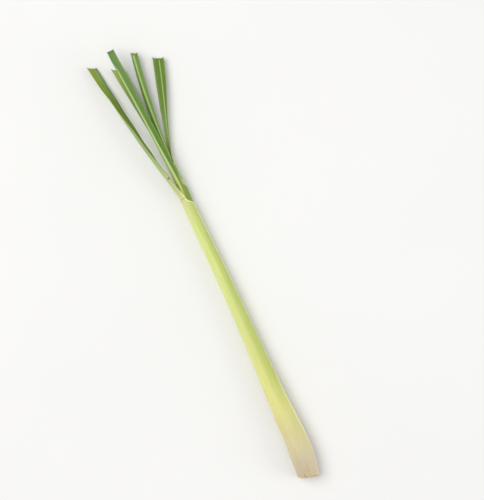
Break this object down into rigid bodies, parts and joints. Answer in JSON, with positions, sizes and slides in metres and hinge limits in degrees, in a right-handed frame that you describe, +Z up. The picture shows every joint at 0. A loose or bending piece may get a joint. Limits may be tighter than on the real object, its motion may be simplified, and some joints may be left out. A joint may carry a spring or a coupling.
{
  "type": "lemongrass stalk",
  "caption": "Trimmed fresh lemongrass stalk lying flat: a pale swollen root end, a rolled green stalk and square-cut folded leaf blades spreading at the top.",
  "frame": {"origin": "on the resting surface, under the middle of the stalk's bounding box", "axes": "+X along the stalk from the cut root end to the leaf tips, +Z up, +Y to the side that the outermost leaf's blade bends to"},
  "size_m": [0.4258, 0.0672, 0.0212],
  "materials": {
    "outer_leaf": "fresh plant skin: cream root end to yellow-green, satin",
    "second_leaf": "fresh grass leaf, dark green, satin, fine lengthwise veins",
    "third_leaf": "fresh grass leaf, yellow-green, satin, fine lengthwise veins",
    "fourth_leaf": "fresh grass leaf, mid green, satin, fine lengthwise veins",
    "young_leaf": "young grass leaf, light green, satin"
  },
  "bodies": {
    "root": {"leaf_1": "outer_leaf", "leaf_2": "second_leaf", "leaf_3": "third_leaf", "leaf_4": "fourth_leaf", "heart_leaf": "young_leaf"}
  },
  "joints": []
}
